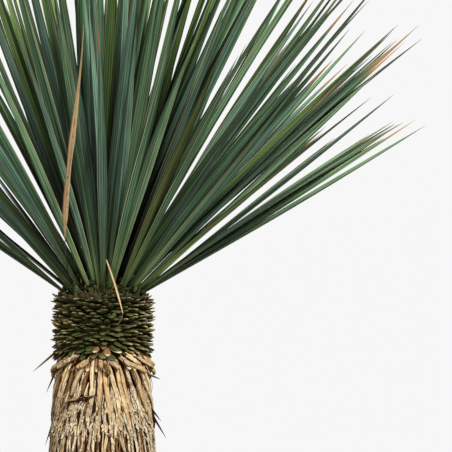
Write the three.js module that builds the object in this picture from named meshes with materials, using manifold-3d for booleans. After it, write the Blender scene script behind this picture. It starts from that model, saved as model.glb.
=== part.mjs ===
// Potted beaked yucca: a head of stiff leaves on a trunk dressed in old leaf bases, in a plain clay pot.
// Millimetres and degrees, +Z up. The origin is the centre of the pot's flat underside, and -Y is the front.
import * as THREE from "three";
import { mergeVertices } from "three/addons/utils/BufferGeometryUtils.js";
import Module from "manifold-3d";

// Gap left between two pieces that rest on each other or sit round each other
const GAP = 0.3;
const ROUND_SIDES = 24;

// Clay pot, and the soil that fills it
const POT_HEIGHT = 340;
const POT_SIDES = 40;
const POT_RIM_RADIUS = 205;
const POT_FOOT_RADIUS = 142;
const POT_WALL = 14;
const POT_BASE = 18;
const RIM_BAND_HEIGHT = 54;
const RIM_BAND_STEP = 9;
const POT_EDGE = 4;
const DRAIN_COUNT = 4;
const DRAIN_RADIUS = 9;
const DRAIN_SIDES = 12;
const DRAIN_CIRCLE_RADIUS = 78;
const SOIL_LEVEL = 300;

// Trunk: heights are measured up from the soil
const TRUNK_HEIGHT = 466;
const TRUNK_TOP_RADIUS = 50;
const TRUNK_TAPER = 26;
const ROOT_FLARE = 24;
const ROOT_FLARE_FADE = 28;
const TIP_FOOT_RADIUS = 40;
const TIP_END_RADIUS = 8;
const COLLAR_FOOT = 390;
const HUSK_FOOT = 26;
const TRUNK_STATIONS = [0, 10, HUSK_FOOT, 50, 90, 140, 200, 260, 320, COLLAR_FOOT, TRUNK_HEIGHT];

// Sleeves of leaf bases round the trunk: dry husks below, green stubs left by trimming above
const SLEEVE_THICKNESS = 8;
const HUSK = { rows: 9, perRow: 9, length: 34, width: 20, thickness: 7, endShare: 0.6, sunk: 5 };
const HUSK_TOP_TILT = -58;
const HUSK_FOOT_TILT = -76;
const STUB = { rows: 5, perRow: 12, length: 16, width: 19, thickness: 8, endShare: 0.62, sunk: 5 };
const STUB_TOP_TILT = 32;
const STUB_FOOT_TILT = -12;
const SLEEVE_EDGE = 6;

// Dry spines that stand out of the husks: where they start, which way they point and how long they are
const SPINE_WIDTH = 7;
const SPINES = [
  { height: 385, azimuth: 192, tilt: -40, length: 46 },
  { height: 350, azimuth: 186, tilt: -66, length: 40 },
  { height: 356, azimuth: -10, tilt: -24, length: 36 },
  { height: 300, azimuth: -6, tilt: -56, length: 52 },
  { height: 288, azimuth: 176, tilt: -72, length: 40 },
  { height: 210, azimuth: 62, tilt: -58, length: 46 },
  { height: 330, azimuth: 108, tilt: -40, length: 44 },
  { height: 150, azimuth: 250, tilt: -64, length: 40 },
];

// Leaves: each tier is a ledge of the crown with its own band of leaf elevations, cut into sectors
const TIER_HEIGHT = 15;
const TIERS = [
  { name: "outer", leaves: 64, sectors: 8, radius: 54, root: 47.5, low: 30.5, high: 38.5, length: 466 },
  { name: "second", leaves: 82, sectors: 8, radius: 45, root: 39, low: 40, high: 50.5, length: 548 },
  { name: "third", leaves: 48, sectors: 6, radius: 35, root: 29, low: 52, high: 62, length: 548 },
  { name: "inner", leaves: 36, sectors: 4, radius: 25, root: 19, low: 63.5, high: 73, length: 545 },
  { name: "spear", leaves: 18, sectors: 1, radius: 14, root: 7, low: 75, high: 86, length: 505 },
];
const GOLDEN_ANGLE = 137.508;
const LEAF_SEED = 3492;
const LEAF_WIDTH = 15;
const LEAF_ROOT_SHARE = 0.68;
const LEAF_WIDEST_AT = 0.5;
const LEAF_TAPER_POWER = 2.3;
const LEAF_THICKNESS = 5.6;
const LEAF_STEPS = 3;
const LEAF_SHORTEST = 0.86;
const LEAF_SAG = 0.028;
const LEAF_ROLL = 42;
const AZIMUTH_JITTER = 7;
const CROWDING = 0.32;
const SECTOR_MARGIN = 3;
const FRONT_AZIMUTH = 270;
const FRONT_LIFT = 0.2;

// The one dead leaf of the outer tier, bowed out to its side before it bends back over the front
const DEAD_LEAF = {
  azimuth: 272,
  rootAzimuth: 254,
  elevation: 37,
  length: 492,
  sag: -0.0035,
  roll: 12,
  bow: -0.058,
};

// Finishes
const clay = new THREE.MeshStandardMaterial({ color: 0xb5714d, roughness: 0.9, metalness: 0 });
const earth = new THREE.MeshStandardMaterial({ color: 0x3b2c20, roughness: 1, metalness: 0 });
const wood = new THREE.MeshStandardMaterial({ color: 0x6a5238, roughness: 0.95, metalness: 0 });
const straw = new THREE.MeshStandardMaterial({ color: 0xc5a878, roughness: 0.9, metalness: 0 });
const trimmedGreen = new THREE.MeshStandardMaterial({ color: 0x43502a, roughness: 0.8, metalness: 0 });
const leafGreen = new THREE.MeshStandardMaterial({ color: 0x4b6a55, roughness: 0.5, metalness: 0 });

const wasm = await Module();
wasm.setup();

const radians = THREE.MathUtils.degToRad;
const degrees = THREE.MathUtils.radToDeg;
const mix = THREE.MathUtils.lerp;

// The same run of numbers between 0 and 1 for the same seed
function seededRandom(seed) {
  let state = seed >>> 0;
  return () => {
    state = (Math.imul(state, 1664525) + 1013904223) >>> 0;
    return state / 4294967296;
  };
}

// A closed geometry as a solid: equal points are merged, and faces that closed up are left out
function toSolid(geometry) {
  const bare = geometry.clone();
  bare.deleteAttribute("normal");
  bare.deleteAttribute("uv");
  const merged = mergeVertices(bare, 1e-3);
  const corners = merged.index.array;
  const kept = [];
  for (let i = 0; i < corners.length; i += 3) {
    const [a, b, c] = corners.subarray(i, i + 3);
    if (a !== b && b !== c && c !== a) kept.push(a, b, c);
  }
  const vertProperties = merged.attributes.position.array;
  return new wasm.Manifold(new wasm.Mesh({ numProp: 3, vertProperties, triVerts: new Uint32Array(kept) }));
}

// The solid's outer body, so that loose scraps and sealed hollows go
function mainBody(solid) {
  return solid.decompose().reduce((best, body) => (body.volume() > best.volume() ? body : best));
}

function toMesh(name, solid, material) {
  const { vertProperties, triVerts } = mainBody(solid).getMesh();
  const geometry = new THREE.BufferGeometry();
  geometry.setAttribute("position", new THREE.BufferAttribute(vertProperties, 3));
  geometry.setIndex(new THREE.BufferAttribute(triVerts, 1));
  geometry.computeVertexNormals();
  const mesh = new THREE.Mesh(geometry, material);
  mesh.name = name;
  return mesh;
}

function joined(solids) {
  return solids.reduce((whole, piece) => whole.add(piece));
}

// A body turned round the Z axis from a profile of [radius, height] pairs that runs up the outside
function turned(profile, sides) {
  const points = profile.map(([radius, height]) => new THREE.Vector2(radius, height));
  return toSolid(new THREE.LatheGeometry(points, sides).rotateX(Math.PI / 2));
}

// Unit vectors for a direction given by azimuth and elevation: along it, level across it, and square to both
function frameOf(azimuth, elevation) {
  const around = radians(azimuth);
  const up = radians(elevation);
  const level = new THREE.Vector3(Math.cos(around), Math.sin(around), 0);
  const along = level.clone().multiplyScalar(Math.cos(up)).setZ(Math.sin(up));
  const across = new THREE.Vector3(-level.y, level.x, 0);
  return { along, across, normal: across.clone().cross(along) };
}

// A blade of keeled, three-sided section swept along a path: section(share) gives its centre, axes and sizes
function blade(steps, section) {
  const geometry = new THREE.CylinderGeometry(1, 1, 1, 3, steps);
  const places = geometry.attributes.position;
  const point = new THREE.Vector3();
  for (let i = 0; i < places.count; i++) {
    const { centre, across, normal, width, thickness } = section(places.getY(i) + 0.5);
    point.copy(centre);
    point.addScaledVector(across, (places.getX(i) * width) / Math.sqrt(3));
    point.addScaledVector(normal, (places.getZ(i) * thickness) / 1.5);
    places.setXYZ(i, point.x, point.y, point.z);
  }
  return toSolid(geometry);
}

// Clay pot with a banded rim and drain holes through its base
function makePot() {
  const bandFoot = POT_HEIGHT - RIM_BAND_HEIGHT;
  const bodyTop = POT_RIM_RADIUS - RIM_BAND_STEP - POT_EDGE;
  const outside = [
    [0, 0],
    [POT_FOOT_RADIUS - POT_EDGE, 0],
    [POT_FOOT_RADIUS, POT_EDGE],
    [bodyTop, bandFoot],
    [POT_RIM_RADIUS - POT_EDGE, bandFoot],
    [POT_RIM_RADIUS, bandFoot + POT_EDGE],
    [POT_RIM_RADIUS + POT_EDGE, POT_HEIGHT - POT_EDGE],
    [POT_RIM_RADIUS, POT_HEIGHT],
  ];
  const inside = [
    [potBore(POT_HEIGHT) + POT_EDGE, POT_HEIGHT],
    [potBore(POT_HEIGHT - POT_EDGE), POT_HEIGHT - POT_EDGE],
    [potBore(POT_BASE), POT_BASE],
    [0, POT_BASE],
  ];
  let pot = turned([...outside, ...inside], POT_SIDES);
  for (let n = 0; n < DRAIN_COUNT; n++) {
    const around = ((n + 0.5) * 2 * Math.PI) / DRAIN_COUNT;
    const hole = new THREE.CylinderGeometry(DRAIN_RADIUS, DRAIN_RADIUS, 3 * POT_BASE, DRAIN_SIDES);
    hole.rotateX(Math.PI / 2);
    hole.translate(DRAIN_CIRCLE_RADIUS * Math.cos(around), DRAIN_CIRCLE_RADIUS * Math.sin(around), 0);
    pot = pot.subtract(toSolid(hole));
  }
  return toMesh("pot", pot, clay);
}

// Radius of the pot's inside at a height
function potBore(height) {
  const bodyTop = POT_RIM_RADIUS - RIM_BAND_STEP - POT_EDGE;
  return mix(POT_FOOT_RADIUS, bodyTop, height / (POT_HEIGHT - RIM_BAND_HEIGHT)) - POT_WALL;
}

function makeSoil() {
  const foot = POT_BASE + GAP;
  const profile = [
    [0, foot],
    [potBore(foot) - 2 * GAP, foot],
    [potBore(SOIL_LEVEL) - 2 * GAP, SOIL_LEVEL],
    [0, SOIL_LEVEL],
  ];
  return toMesh("soil", turned(profile, POT_SIDES), earth);
}

// Radius of the bare trunk at a height above the soil
function trunkRadius(height) {
  const taper = TRUNK_TAPER * (1 - height / TRUNK_HEIGHT);
  return TRUNK_TOP_RADIUS + taper + ROOT_FLARE * Math.exp(-height / ROOT_FLARE_FADE);
}

// Trunk with its root flare, from a flat cut at the soil to the tapered tip inside the crown
function makeTrunk() {
  const tipHeight = TRUNK_HEIGHT + (TIERS.length - 1) * TIER_HEIGHT;
  const profile = [
    [0, GAP],
    ...TRUNK_STATIONS.map((height) => [trunkRadius(height), Math.max(height, GAP)]),
    [TIP_FOOT_RADIUS, TRUNK_HEIGHT],
    [TIP_END_RADIUS, tipHeight],
    [0, tipHeight],
  ];
  return toMesh("trunk", turned(profile, ROUND_SIDES), wood);
}

// A sleeve round the trunk between two of its stations, not yet bored out
function sleeve(foot, top) {
  const heights = TRUNK_STATIONS.filter((height) => height >= foot && height <= top);
  const outside = heights.map((height) => [
    trunkRadius(height) + SLEEVE_THICKNESS,
    THREE.MathUtils.clamp(height, foot + GAP / 2, top - GAP / 2),
  ]);
  return turned([[0, outside[0][1]], ...outside, [0, outside[outside.length - 1][1]]], ROUND_SIDES);
}

// The room that the trunk and the lowest ledge of the crown take up, with the gap round them
function trunkRoom() {
  const profile = TRUNK_STATIONS.map((height) => [trunkRadius(height) + GAP, height]);
  const ledgeRadius = TIERS[0].radius + GAP;
  const ledgeTop = TRUNK_HEIGHT + TIER_HEIGHT;
  const crown = [[ledgeRadius, TRUNK_HEIGHT], [ledgeRadius, ledgeTop], [0, ledgeTop]];
  return turned([[0, 0], ...profile, ...crown], ROUND_SIDES);
}

// One leaf base: a blunt wedge whose root is sunk in its sleeve
function leafBase(kind, height, azimuth, tilt) {
  const { along, across, normal } = frameOf(azimuth, tilt);
  const rootRadius = trunkRadius(height) + SLEEVE_THICKNESS - kind.sunk;
  const root = frameOf(azimuth, 0).along.multiplyScalar(rootRadius).setZ(height);
  return blade(1, (share) => ({
    centre: root.clone().addScaledVector(along, share * kind.length),
    across,
    normal,
    width: kind.width * mix(1, kind.endShare, share),
    thickness: kind.thickness * mix(1, kind.endShare, share),
  }));
}

// Rows of leaf bases up a sleeve, each row turned half a step from the one below
function leafBases(kind, foot, top, footTilt, topTilt) {
  const bases = [];
  for (let row = 0; row < kind.rows; row++) {
    const share = row / (kind.rows - 1);
    for (let n = 0; n < kind.perRow; n++) {
      const azimuth = ((n + (row % 2) / 2) * 360) / kind.perRow;
      bases.push(leafBase(kind, mix(foot, top, share), azimuth, mix(footTilt, topTilt, share)));
    }
  }
  return bases;
}

// A dry spine: a thin point, rooted in the husks
function spine({ height, azimuth, tilt, length }) {
  const { along, across, normal } = frameOf(azimuth, tilt);
  const rootRadius = trunkRadius(height) + SLEEVE_THICKNESS / 2;
  const root = frameOf(azimuth, 0).along.multiplyScalar(rootRadius).setZ(height);
  return blade(1, (share) => ({
    centre: root.clone().addScaledVector(along, share * length),
    across,
    normal,
    width: SPINE_WIDTH * (1 - share),
    thickness: (SPINE_WIDTH / 2) * (1 - share),
  }));
}

function makeHusks() {
  const foot = HUSK_FOOT + HUSK.length;
  const top = COLLAR_FOOT - 2 * SLEEVE_EDGE;
  const bases = leafBases(HUSK, foot, top, HUSK_FOOT_TILT, HUSK_TOP_TILT);
  const solid = joined([sleeve(HUSK_FOOT, COLLAR_FOOT), ...bases, ...SPINES.map(spine)]);
  return toMesh("dry_leaf_bases", solid.subtract(trunkRoom()), straw);
}

function makeCollar() {
  const foot = COLLAR_FOOT + SLEEVE_EDGE;
  const top = TRUNK_HEIGHT - SLEEVE_EDGE;
  const bases = leafBases(STUB, foot, top, STUB_FOOT_TILT, STUB_TOP_TILT);
  const solid = joined([sleeve(COLLAR_FOOT, TRUNK_HEIGHT), ...bases]);
  return toMesh("green_leaf_bases", solid.subtract(trunkRoom()), trimmedGreen);
}

// How far an azimuth faces the front, from 0 to 1
function facingFront(azimuth) {
  return Math.pow(Math.max(0, Math.cos(radians(azimuth - FRONT_AZIMUTH))), 1.5);
}

// The leaves of every tier in order of growth: a golden-angle spiral that crowds to the right, from one seed
function growLeaves() {
  const random = seededRandom(LEAF_SEED);
  const leaves = [];
  TIERS.forEach((tier, level) => {
    const sectorAngle = 360 / tier.sectors;
    const halfRoot = degrees(Math.asin((LEAF_WIDTH * LEAF_ROOT_SHARE) / 2 / tier.root));
    const rootReach = tier.sectors > 1 ? 1 - halfRoot / (sectorAngle / 2) : 1;
    const tipReach = tier.sectors > 1 ? 1 - SECTOR_MARGIN / (sectorAngle / 2) : 1;
    for (let n = 0; n < tier.leaves; n++) {
      const turn = leaves.length * GOLDEN_ANGLE + AZIMUTH_JITTER * (2 * random() - 1);
      const crowded = turn - degrees(CROWDING * Math.sin(radians(turn)));
      const spiral = THREE.MathUtils.euclideanModulo(crowded, 360);
      const sector = Math.round(spiral / sectorAngle) % tier.sectors;
      const middle = Math.round(spiral / sectorAngle) * sectorAngle;
      const azimuth = middle + (spiral - middle) * tipReach;
      const lean = (90 - mix(tier.low, tier.high, random())) * (1 - FRONT_LIFT * facingFront(azimuth));
      leaves.push({
        level,
        sector,
        azimuth,
        rootAzimuth: middle + (spiral - middle) * rootReach,
        elevation: 90 - lean,
        length: tier.length * mix(LEAF_SHORTEST, 1, random()),
        sag: LEAF_SAG * random(),
        roll: LEAF_ROLL * (2 * random() - 1),
        bow: 0,
      });
    }
  });
  return leaves;
}

// Share of the full leaf width at a share of the leaf's length
function leafOutline(share) {
  const rise = mix(LEAF_ROOT_SHARE, 1, Math.sin((Math.min(1, share / LEAF_WIDEST_AT) * Math.PI) / 2));
  const past = Math.max(0, (share - LEAF_WIDEST_AT) / (1 - LEAF_WIDEST_AT));
  return rise * (1 - Math.pow(past, LEAF_TAPER_POWER));
}

// One leaf: a blade from its root in the tier's ledge to a point
function leafSolid(leaf) {
  const tier = TIERS[leaf.level];
  const { along, across, normal } = frameOf(leaf.azimuth, leaf.elevation);
  const root = frameOf(leaf.rootAzimuth, 0).along.multiplyScalar(tier.root);
  root.setZ((leaf.level + 0.5) * TIER_HEIGHT);
  return blade(LEAF_STEPS, (share) => {
    const turn = radians(leaf.roll * share);
    const sideways = 6.75 * share * Math.pow(1 - share, 2) * leaf.bow;
    const centre = root.clone().addScaledVector(along, leaf.length * share);
    centre.addScaledVector(normal, leaf.length * leaf.sag * share * share);
    centre.addScaledVector(across, leaf.length * sideways);
    return {
      centre,
      across: across.clone().applyAxisAngle(along, turn),
      normal: normal.clone().applyAxisAngle(along, turn),
      width: LEAF_WIDTH * leafOutline(share),
      thickness: LEAF_THICKNESS * leafOutline(share),
    };
  });
}

// The block of crown that a tier's leaves grow from, in one sector
function ledge(level, sector) {
  const tier = TIERS[level];
  const foot = level * TIER_HEIGHT + GAP;
  const top = (level + 1) * TIER_HEIGHT;
  const tipTop = (TIERS.length - 1) * TIER_HEIGHT;
  const bore = (height) => mix(TIP_FOOT_RADIUS, TIP_END_RADIUS, height / tipTop) + GAP;
  if (tier.sectors === 1) {
    return turned([[0, foot], [tier.radius, foot], [tier.radius, top], [0, top]], ROUND_SIDES);
  }
  const rim = [[tier.radius, foot], [tier.radius, top]];
  const ring = turned([...rim, [bore(top), top], [bore(foot), foot], rim[0]], ROUND_SIDES);
  const half = Math.PI / tier.sectors;
  const reach = (2 * tier.radius) / Math.cos(half);
  const wedge = new THREE.Shape();
  wedge.moveTo(GAP / 2 / Math.sin(half), 0);
  wedge.lineTo(reach * Math.cos(half), -reach * Math.sin(half));
  wedge.lineTo(2 * reach, 0);
  wedge.lineTo(reach * Math.cos(half), reach * Math.sin(half));
  const slice = new THREE.ExtrudeGeometry(wedge, { depth: 3 * TIER_HEIGHT, bevelEnabled: false });
  slice.translate(0, 0, foot - TIER_HEIGHT).rotateZ(2 * sector * half);
  return ring.intersect(toSolid(slice));
}

// The head of leaves: one fused group for each sector of each tier
function makeHead() {
  const head = new THREE.Group();
  const leaves = growLeaves();
  const outer = TIERS[0];
  const deadSector = Math.round((DEAD_LEAF.azimuth * outer.sectors) / 360);
  leaves.push({ level: 0, sector: deadSector, ...DEAD_LEAF });
  TIERS.forEach((tier, level) => {
    for (let sector = 0; sector < tier.sectors; sector++) {
      const mine = leaves.filter((leaf) => leaf.level === level && leaf.sector === sector);
      const name = tier.sectors > 1 ? `${tier.name}_leaves_${sector + 1}` : `${tier.name}_leaves`;
      head.add(toMesh(name, joined([ledge(level, sector), ...mine.map(leafSolid)]), leafGreen));
    }
  });
  head.position.z = TRUNK_HEIGHT;
  return head;
}

const plant = new THREE.Group();
plant.add(makeTrunk(), makeHusks(), makeCollar(), makeHead());
plant.position.z = SOIL_LEVEL;

const pottedYucca = new THREE.Group();
pottedYucca.add(makePot(), makeSoil(), plant);

export default pottedYucca;
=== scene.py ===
"""Potted beaked yucca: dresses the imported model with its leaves, leaf bases, trunk, soil and clay pot."""

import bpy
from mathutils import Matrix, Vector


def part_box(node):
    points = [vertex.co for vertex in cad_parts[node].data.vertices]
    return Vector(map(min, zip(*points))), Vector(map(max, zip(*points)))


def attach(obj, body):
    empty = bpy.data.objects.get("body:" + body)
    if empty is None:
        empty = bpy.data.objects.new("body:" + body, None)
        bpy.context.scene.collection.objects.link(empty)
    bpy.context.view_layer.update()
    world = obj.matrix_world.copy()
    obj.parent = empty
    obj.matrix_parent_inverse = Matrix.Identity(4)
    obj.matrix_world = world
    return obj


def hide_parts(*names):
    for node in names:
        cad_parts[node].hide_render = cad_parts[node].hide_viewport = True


bl_info = {
    "name": "Potted Beaked Yucca",
    "version": (1, 0, 0),
    "blender": (4, 5, 0),
    "location": "View3D > Sidebar > Yucca",
    "description": "Builds a beaked yucca in a clay pot, and the stage that it stands on",
    "category": "Add Mesh",
}

import math
from collections import namedtuple
from functools import partial

import bmesh
import bpy
import numpy as np
from bpy.props import FloatProperty, FloatVectorProperty, IntProperty, PointerProperty
from mathutils import Matrix, Vector, noise

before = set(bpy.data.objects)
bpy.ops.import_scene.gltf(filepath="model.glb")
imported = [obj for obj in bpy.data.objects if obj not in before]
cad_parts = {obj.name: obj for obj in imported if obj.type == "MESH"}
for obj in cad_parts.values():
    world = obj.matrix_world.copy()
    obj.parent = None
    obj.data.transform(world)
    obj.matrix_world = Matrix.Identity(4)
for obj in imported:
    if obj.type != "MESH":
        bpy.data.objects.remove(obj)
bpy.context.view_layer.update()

# Heights of the frame that the pieces are built on
SOIL_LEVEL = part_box("soil")[1][2]
POT_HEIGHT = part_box("pot")[1][2]

# Trunk, as in the source: heights are measured up from the soil
GAP = 0.0003
TRUNK_HEIGHT = 0.466
TRUNK_TOP_RADIUS = 0.050
TRUNK_TAPER = 0.026
ROOT_FLARE = 0.024
ROOT_FLARE_FADE = 0.028
COLLAR_FOOT = 0.390
HUSK_FOOT = 0.026

# Where the photo frames the plant, in pixels and metres
PHOTO_SIZE = 452
METRES_PER_PIXEL = 0.00136
TRUNK_PIXEL = 103.5
COLLAR_TOP_PIXEL = 290
COLLAR_TOP_HEIGHT = 0.780
FRONT_AZIMUTH = 270
FRONT = math.radians(FRONT_AZIMUTH)
UP = np.array([0, 0, 1.0])
FORWARD = np.array([0, -1.0, 0])


# Settings


def tone(code):
    """A colour given as 0xRRGGBB, in the linear values that Blender uses."""
    parts = [((code >> shift) & 255) / 255 for shift in (16, 8, 0)]
    return tuple(c / 12.92 if c <= 0.04045 else ((c + 0.055) / 1.055) ** 2.4 for c in parts)


def colour(name, description, code):
    return FloatVectorProperty(
        name=name, description=description, subtype="COLOR", size=3, min=0, max=1, default=tone(code)
    )


def count_of(name, description, default):
    return IntProperty(name=name, description=description, default=default)


def number(name, description, default, **kind):
    return FloatProperty(name=name, description=description, default=default, **kind)


length = partial(number, unit="LENGTH")
power = partial(number, unit="POWER")


class LeafSettings(bpy.types.PropertyGroup):
    """Sizes and colours of the living and dead leaves."""

    seed: count_of("Seed", "Seed of the leaf spiral, the same as the source's", 3492)
    width: length("Width", "Widest part of a leaf", 0.0142)
    depth: length("Depth", "Depth from edges to keel", 0.0046)
    twist: number("Twist", "Twist added to the outer leaves", 24, min=0, max=60)
    blue_green: colour("Blue green", "Leaves with the most wax", 0x4B6655)
    mid_green: colour("Mid green", "Most of the leaves", 0x4B6448)
    deep_green: colour("Deep green", "Older leaves", 0x3B553D)
    olive: colour("Olive", "Leaves that yellow with age", 0x586439)
    young_green: colour("Young green", "Leaves in the middle of the head", 0x435A2D)
    foot: colour("Foot", "Yellower foot of a leaf", 0x4E5C2C)
    margin: colour("Margin", "Horny edge of a leaf", 0xA29E7E)
    tip: colour("Tip", "Dry tip of a leaf", 0x906E4A)
    dead: colour("Dead leaf", "Leaf that has dried up", 0xE2C492)


class TrunkSettings(bpy.types.PropertyGroup):
    """Sizes and colours of the trunk and the leaf bases that dress it."""

    scale_rows: count_of("Scale rows", "Rows of green leaf bases", 19)
    scales_per_row: count_of("Scales in a row", "Green leaf bases in a row", 31)
    strap_tiers: count_of("Strap tiers", "Tiers of dry leaf bases", 7)
    bark: colour("Bark", "Corky bark of the trunk", 0x7A6248)
    damp: colour("Damp bark", "Bark under the collar", 0x3A361A)
    fresh_green: colour("Fresh green", "Palest green leaf bases", 0x505428)
    moss_green: colour("Moss green", "Leaf bases that are still green", 0x444A1F)
    dark_green: colour("Dark green", "Leaf bases in the middle of the collar", 0x343818)
    olive: colour("Olive", "Ends of the palest green leaf bases", 0x68643A)
    rust: colour("Rust", "Leaf bases that turn brown", 0x4E3C20)
    # Its pale ends on both sides of the collar are painted rim light
    cut: colour("Cut ends", "Dry ends of the weathered leaf bases", 0xAC9468)
    cream: colour("Cream", "Palest husks", 0xDAC8A0)
    straw: colour("Straw", "Most of the upper husks", 0xD0B68A)
    tan: colour("Tan", "Darker husks", 0x8E6A40)
    # Where it fills the gaps between the straps, its darkness is partly painted shade
    umber: colour("Umber", "Husks in the gaps", 0x3A1E0A)
    grey: colour("Grey", "Weathered husks", 0xDACEB0)
    shadow: colour("Shadow", "Splits in the weathered husks", 0x8A7250)


class PotSettings(bpy.types.PropertyGroup):
    """Sizes and colours of the pot and its soil."""

    rim_radius: length("Rim radius", "Outside of the rim", 0.205)
    foot_radius: length("Foot radius", "Outside of the foot", 0.142)
    wall: length("Wall", "Thickness of the wall", 0.014)
    base: length("Base", "Thickness of the base", 0.018)
    band: length("Band", "Height of the rim band", 0.054)
    step: length("Step", "How far the band stands out", 0.009)
    edge: length("Edge", "Rounding of the edges", 0.004)
    crumbs: count_of("Crumbs", "Loose crumbs and grit on the soil", 900)
    clay: colour("Clay", "Fired clay", 0xB9744E)
    lime: colour("Lime", "Pale bloom on the clay", 0xD9B89C)
    earth: colour("Earth", "Damp potting soil", 0x3A2A1E)
    grit: colour("Grit", "Grit in the soil", 0x9A8C7A)
    bark: colour("Bark chips", "Chips of bark in the soil", 0x5C3E28)


class StageSettings(bpy.types.PropertyGroup):
    """Camera, floor and lights."""

    distance: length("Distance", "Camera to trunk", 2.8)
    eye_height: length("Eye height", "Camera above the floor", 0.66)
    backdrop: number("Backdrop", "Brightness behind the plant", 0.93)
    ambient: number("Ambient", "Light from all round", 0.12)
    key: number("Key", "Strength of the key light", 6.0)
    key_angle: number("Key angle", "Softness of the key", 0.14, subtype="ANGLE")
    fill: power("Fill", "Fill light", 6)
    low: power("Low", "Light from low in front", 23)
    rim: power("Rim", "Light from behind on both sides", 14)
    floor: colour("Floor", "Pale floor", 0xE9E8E6)


class YuccaSettings(bpy.types.PropertyGroup):
    """Everything that can be changed on the plant, its pot and its stage."""

    leaf: PointerProperty(type=LeafSettings, name="Leaves", description="Leaves of the crown")
    trunk: PointerProperty(type=TrunkSettings, name="Trunk", description="Trunk and leaf bases")
    pot: PointerProperty(type=PotSettings, name="Pot", description="Pot and soil")
    stage: PointerProperty(type=StageSettings, name="Stage", description="Camera, floor and lights")


# Materials

# Darkest and lightest ribs of a leaf, and the splits in a husk with the painted shade at its edges, as shares of
# a colour's channels
LEAF_DEEP = (0.26, 0.36, 0.25)
LEAF_WAXY = (1.98, 1.76, 1.8)
HUSK_SPLIT_AND_EDGE_SHADE = (0.38, 0.28, 0.18)

# Net of cracks in the husks: how far it wanders, and its cells to the metre
CRACK_WANDER = (0.012, 0.012, 0.02)
CRACK_CELLS = (160, 160, 52)
DAMP_FADE = 0.02

BladeMap = namedtuple("BladeMap", "run across along rim")


def times(colour, share):
    """A colour made darker or lighter by one share, or by one for each channel."""
    return tuple(float(c) for c in np.array(colour) * share)


class Nodes:
    """Adds nodes to a tree. A value that is a socket is linked, and any other is set."""

    def __init__(self, tree):
        self.tree = tree

    def put(self, value, socket):
        if isinstance(value, bpy.types.NodeSocket):
            self.tree.links.new(value, socket)
        else:
            socket.default_value = (*value, 1) if socket.type == "RGBA" else value

    def add(self, kind, inputs=None, **settings):
        """A new node, with its inputs by name or number."""
        made = self.tree.nodes.new(kind)
        for key, value in settings.items():
            setattr(made, key, value)
        for key, value in (inputs or {}).items():
            self.put(value, made.inputs[key])
        return made

    def graded(self, value, low, high, start=0.0, end=1.0):
        """Maps a value from low..high to start..end, held at the ends."""
        return self.add("ShaderNodeMapRange", dict(enumerate((value, low, high, start, end)))).outputs[0]


class Finish(Nodes):
    """A material whose colour is built up layer by layer."""

    def __init__(self, name, roughness, specular):
        self.material = bpy.data.materials.new(name)
        self.material.use_nodes = True
        super().__init__(self.material.node_tree)
        self.sockets = self.tree.nodes["Principled BSDF"].inputs
        self.put(roughness, self.sockets["Roughness"])
        self.put(specular, self.sockets["Specular IOR Level"])
        self.colour = None

    def maths(self, operation, first, second=0.0):
        return self.add("ShaderNodeMath", {0: first, 1: second}, operation=operation).outputs[0]

    def grain(self, vector, scale, detail, rough, stretch=(1, 1, 1)):
        """Noise over a vector, stretched along its axes."""
        placed = self.add("ShaderNodeMapping", {"Vector": vector, "Scale": stretch}).outputs[0]
        inputs = {"Vector": placed, "Scale": scale, "Detail": detail, "Roughness": rough}
        return self.add("ShaderNodeTexNoise", inputs).outputs[0]

    def place(self):
        return self.add("ShaderNodeTexCoord").outputs["Object"]

    def trait(self, name):
        """A value that a mesh holds for each of its blades."""
        return self.add("ShaderNodeAttribute", attribute_name=name).outputs[2]

    def blade(self):
        """The blade's own map, its places across and along, and how far off the middle line that is."""
        run = self.add("ShaderNodeUVMap", uv_map="blade").outputs[0]
        across, along, _ = self.add("ShaderNodeSeparateXYZ", {0: run}).outputs
        return BladeMap(run, across, along, self.maths("ABSOLUTE", self.maths("SUBTRACT", across, 0.5)))

    def mix(self, share, first, second):
        made = self.add("ShaderNodeMix", data_type="RGBA")
        for value, socket in zip((share, first, second), (0, 6, 7)):
            self.put(value, made.inputs[socket])
        self.colour = made.outputs[2]

    def cover(self, colour, value, *grade):
        """Lays a colour over what is there, by a value that is graded."""
        self.mix(self.graded(value, *grade), self.colour, colour)

    def light(self, value):
        """Lightens or darkens the colour."""
        self.colour = self.add("ShaderNodeHueSaturation", {"Value": value, "Color": self.colour}).outputs[0]

    def finished(self, height, strength, distance):
        """The material, with its colour and a bump."""
        self.put(self.colour, self.sockets["Base Color"])
        bump = self.add("ShaderNodeBump", {"Height": height, "Strength": strength, "Distance": distance})
        self.put(bump.outputs[0], self.sockets["Normal"])
        return self.material

    def finished_blades(self, *bump):
        """The same, with each blade lightened or darkened by its own shade, some of which is painted shade."""
        self.light(self.trait("shade"))
        return self.finished(*bump)


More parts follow.
